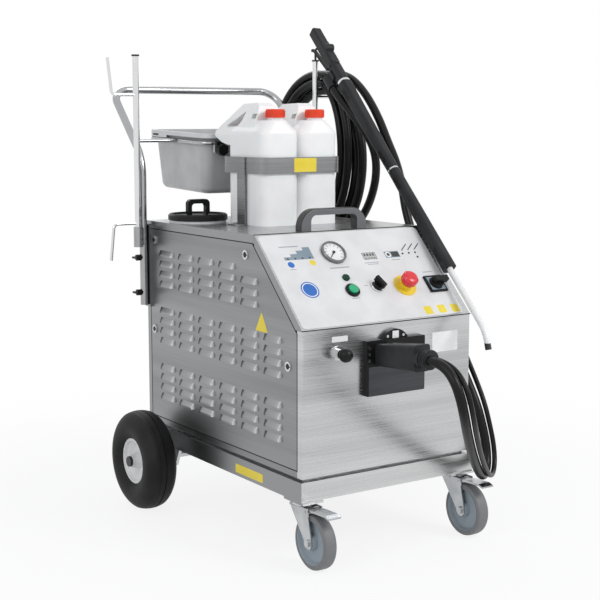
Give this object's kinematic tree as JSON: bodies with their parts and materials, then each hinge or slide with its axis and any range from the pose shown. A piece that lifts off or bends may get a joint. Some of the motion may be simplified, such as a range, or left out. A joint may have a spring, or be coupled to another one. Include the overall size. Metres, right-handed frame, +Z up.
{
  "type": "dry steam cleaner",
  "caption": "Wheeled stainless dry steam cleaner with sloped control panel, louvred sides, jerrycans, tub, push handle, coiled hose on a hook post and long steam gun.",
  "frame": {"origin": "on the floor, in the middle of the machine's outline without the hose and plug", "axes": "+X to the right seen from the front, -Y towards the front, +Z up"},
  "size_m": [0.7308, 1.2459, 1.2389],
  "materials": {
    "stainless": "brushed",
    "bright_tube": "polished",
    "zinc": "zinc plated",
    "overlay_white": "satin",
    "black_plastic": "satin",
    "hose_rubber": "smooth",
    "tyre_black": "matte",
    "rim_grey": "satin",
    "caster_grey": "matte",
    "can_white": "satin",
    "cap_red": "satin",
    "tub_grey": "satin",
    "stop_yellow": "gloss",
    "stop_red": "gloss",
    "start_green": "gloss",
    "gauge_metal": "polished",
    "boiler_shell": "satin",
    "pump_metal": "cast",
    "tank_plastic": "satin"
  },
  "bodies": {
    "cabinet": {"base_frame": "stainless", "rear_axle": "bright_tube", "front_cover": "stainless", "rear_cover": "stainless", "control_panel": "stainless", "control_overlay": "overlay_white", "top_deck": "stainless", "panel_locks": "bright_tube", "pressure_gauge": "gauge_metal", "switch_collars": "black_plastic", "stop_collar": "stop_yellow", "isolator_plate": "black_plastic", "socket_plate": "black_plastic", "plug": "black_plastic", "deck_handle": "black_plastic", "can_strap": "stainless", "push_handle": "bright_tube", "handle_brackets": "stainless", "hook_posts": "bright_tube", "tub_ring": "bright_tube", "gun_body": "black_plastic", "gun_sleeves": "black_plastic", "lance_tube": "bright_tube", "hose_lead": "hose_rubber", "hose_coil": "hose_rubber", "hose_tail": "hose_rubber", "water_tank": "tank_plastic", "boiler": "boiler_shell", "water_pump": "pump_metal", "hose_cable": "hose_rubber", "side_panel_left": "stainless", "side_panel_right": "stainless"},
    "needle": {"gauge_needle": "black_plastic"},
    "start": {"start_button": "start_green"},
    "selector": {"selector_knob": "black_plastic"},
    "stop": {"stop_button": "stop_red"},
    "isolator": {"isolator_handle": "black_plastic"},
    "pull": {"pull_knob": "black_plastic"},
    "lid": {"tank_lid": "black_plastic"},
    "tub_body": {"tub": "tub_grey"},
    "ring_screw": {"ring_knob": "black_plastic"},
    "trigger": {"gun_trigger": "black_plastic"},
    "rear_wheel_left": {"rear_tyre_left": "tyre_black", "rear_rim_left": "rim_grey"},
    "swivel_left": {"caster_fork_left": "zinc"},
    "roller_left": {"caster_wheel_left": "caster_grey"},
    "pedal_left": {"brake_pedal_left": "zinc"},
    "can_body_left": {"can_left": "can_white"},
    "cap_left": {"can_cap_left": "cap_red"},
    "clamp_screw_low_left": {"clamp_low_left": "black_plastic"},
    "clamp_screw_high_left": {"clamp_high_left": "black_plastic"},
    "rear_wheel_right": {"rear_tyre_right": "tyre_black", "rear_rim_right": "rim_grey"},
    "swivel_right": {"caster_fork_right": "zinc"},
    "roller_right": {"caster_wheel_right": "caster_grey"},
    "pedal_right": {"brake_pedal_right": "zinc"},
    "can_body_right": {"can_right": "can_white"},
    "cap_right": {"can_cap_right": "cap_red"},
    "clamp_screw_low_right": {"clamp_low_right": "black_plastic"},
    "clamp_screw_high_right": {"clamp_high_right": "black_plastic"}
  },
  "joints": [
    {"name": "rear_wheel_left_spin", "type": "hinge", "parent": "cabinet", "child": "rear_wheel_left", "pos_m": [-0.322, 0.191, 0.126], "axis": [1, 0, 0], "continuous": true},
    {"name": "caster_left_swivel", "type": "hinge", "parent": "cabinet", "child": "swivel_left", "pos_m": [-0.22, -0.389, 0.136], "axis": [0, 0, 1], "continuous": true},
    {"name": "caster_left_roll", "type": "hinge", "parent": "swivel_left", "child": "roller_left", "pos_m": [-0.22, -0.437, 0.0625], "axis": [1, 0, 0], "continuous": true},
    {"name": "brake_pedal_left_tip", "type": "hinge", "parent": "swivel_left", "child": "pedal_left", "pos_m": [-0.22, -0.425, 0.1312], "axis": [1, 0, 0], "range_deg": [0, 10]},
    {"name": "can_left_lift", "type": "slide", "parent": "cabinet", "child": "can_body_left", "axis": [0, 0, 1], "range_m": [0, 0.18]},
    {"name": "can_cap_left_turn", "type": "hinge", "parent": "can_body_left", "child": "cap_left", "pos_m": [-0.0485, -0.01, 1], "axis": [0, 0, 1], "range_deg": [0, 360]},
    {"name": "clamp_low_left_turn", "type": "hinge", "parent": "cabinet", "child": "clamp_screw_low_left", "pos_m": [-0.257, 0.3, 0.541], "axis": [-1, 0, 0], "range_deg": [0, 360]},
    {"name": "clamp_high_left_turn", "type": "hinge", "parent": "cabinet", "child": "clamp_screw_high_left", "pos_m": [-0.257, 0.3, 0.632], "axis": [-1, 0, 0], "range_deg": [0, 360]},
    {"name": "rear_wheel_right_spin", "type": "hinge", "parent": "cabinet", "child": "rear_wheel_right", "pos_m": [0.322, 0.191, 0.126], "axis": [1, 0, 0], "continuous": true},
    {"name": "caster_right_swivel", "type": "hinge", "parent": "cabinet", "child": "swivel_right", "pos_m": [0.22, -0.389, 0.136], "axis": [0, 0, 1], "continuous": true},
    {"name": "caster_right_roll", "type": "hinge", "parent": "swivel_right", "child": "roller_right", "pos_m": [0.22, -0.437, 0.0625], "axis": [1, 0, 0], "continuous": true},
    {"name": "brake_pedal_right_tip", "type": "hinge", "parent": "swivel_right", "child": "pedal_right", "pos_m": [0.22, -0.425, 0.1312], "axis": [1, 0, 0], "range_deg": [0, 10]},
    {"name": "can_right_lift", "type": "slide", "parent": "cabinet", "child": "can_body_right", "axis": [0, 0, 1], "range_m": [0, 0.18]},
    {"name": "can_cap_right_turn", "type": "hinge", "parent": "can_body_right", "child": "cap_right", "pos_m": [0.0685, -0.01, 1], "axis": [0, 0, 1], "range_deg": [0, 360]},
    {"name": "clamp_low_right_turn", "type": "hinge", "parent": "cabinet", "child": "clamp_screw_low_right", "pos_m": [0.257, 0.3, 0.541], "axis": [1, 0, 0], "range_deg": [0, 360]},
    {"name": "clamp_high_right_turn", "type": "hinge", "parent": "cabinet", "child": "clamp_screw_high_right", "pos_m": [0.257, 0.3, 0.632], "axis": [1, 0, 0], "range_deg": [0, 360]},
    {"name": "gauge_needle_swing", "type": "hinge", "parent": "cabinet", "child": "needle", "pos_m": [-0.055, -0.26932, 0.68147], "axis": [0, -0.7071, 0.7071], "range_deg": [-270, 0], "stiffness_Nm_per_rad": 0.002, "springref_deg": 28.65},
    {"name": "start_button_press", "type": "slide", "parent": "cabinet", "child": "start", "axis": [0, 0.7071, -0.7071], "range_m": [0, 0.003], "stiffness_N_per_m": 300, "springref_m": -0.004},
    {"name": "selector_turn", "type": "hinge", "parent": "cabinet", "child": "selector", "pos_m": [0.018, -0.34087, 0.60313], "axis": [0, -0.7071, 0.7071], "range_deg": [-45, 45]},
    {"name": "stop_button_press", "type": "slide", "parent": "cabinet", "child": "stop", "axis": [0, 0.7071, -0.7071], "range_m": [0, 0.005], "stiffness_N_per_m": 600, "springref_m": -0.004},
    {"name": "isolator_turn", "type": "hinge", "parent": "cabinet", "child": "isolator", "pos_m": [0.186, -0.34653, 0.59747], "axis": [0, -0.7071, 0.7071], "range_deg": [0, 90]},
    {"name": "pull_knob_pull", "type": "slide", "parent": "cabinet", "child": "pull", "axis": [0, -1, 0], "range_m": [0, 0.02]},
    {"name": "tank_lid_turn", "type": "hinge", "parent": "cabinet", "child": "lid", "pos_m": [-0.158, 0.187, 0.7334], "axis": [0, 0, 1], "range_deg": [0, 90]},
    {"name": "tub_lift", "type": "slide", "parent": "cabinet", "child": "tub_body", "axis": [0, -0.0349, 0.9994], "range_m": [0, 0.08]},
    {"name": "ring_knob_turn", "type": "hinge", "parent": "cabinet", "child": "ring_screw", "pos_m": [-0.09, 0.19565, 0.91056], "axis": [0, 0.9994, 0.0349], "range_deg": [0, 360]},
    {"name": "gun_trigger_squeeze", "type": "hinge", "parent": "cabinet", "child": "trigger", "pos_m": [0.28448, 0.23541, 1.12982], "axis": [0.9974, -0.0537, -0.0481], "range_deg": [0, 6], "stiffness_Nm_per_rad": 2, "springref_deg": -5.73}
  ]
}
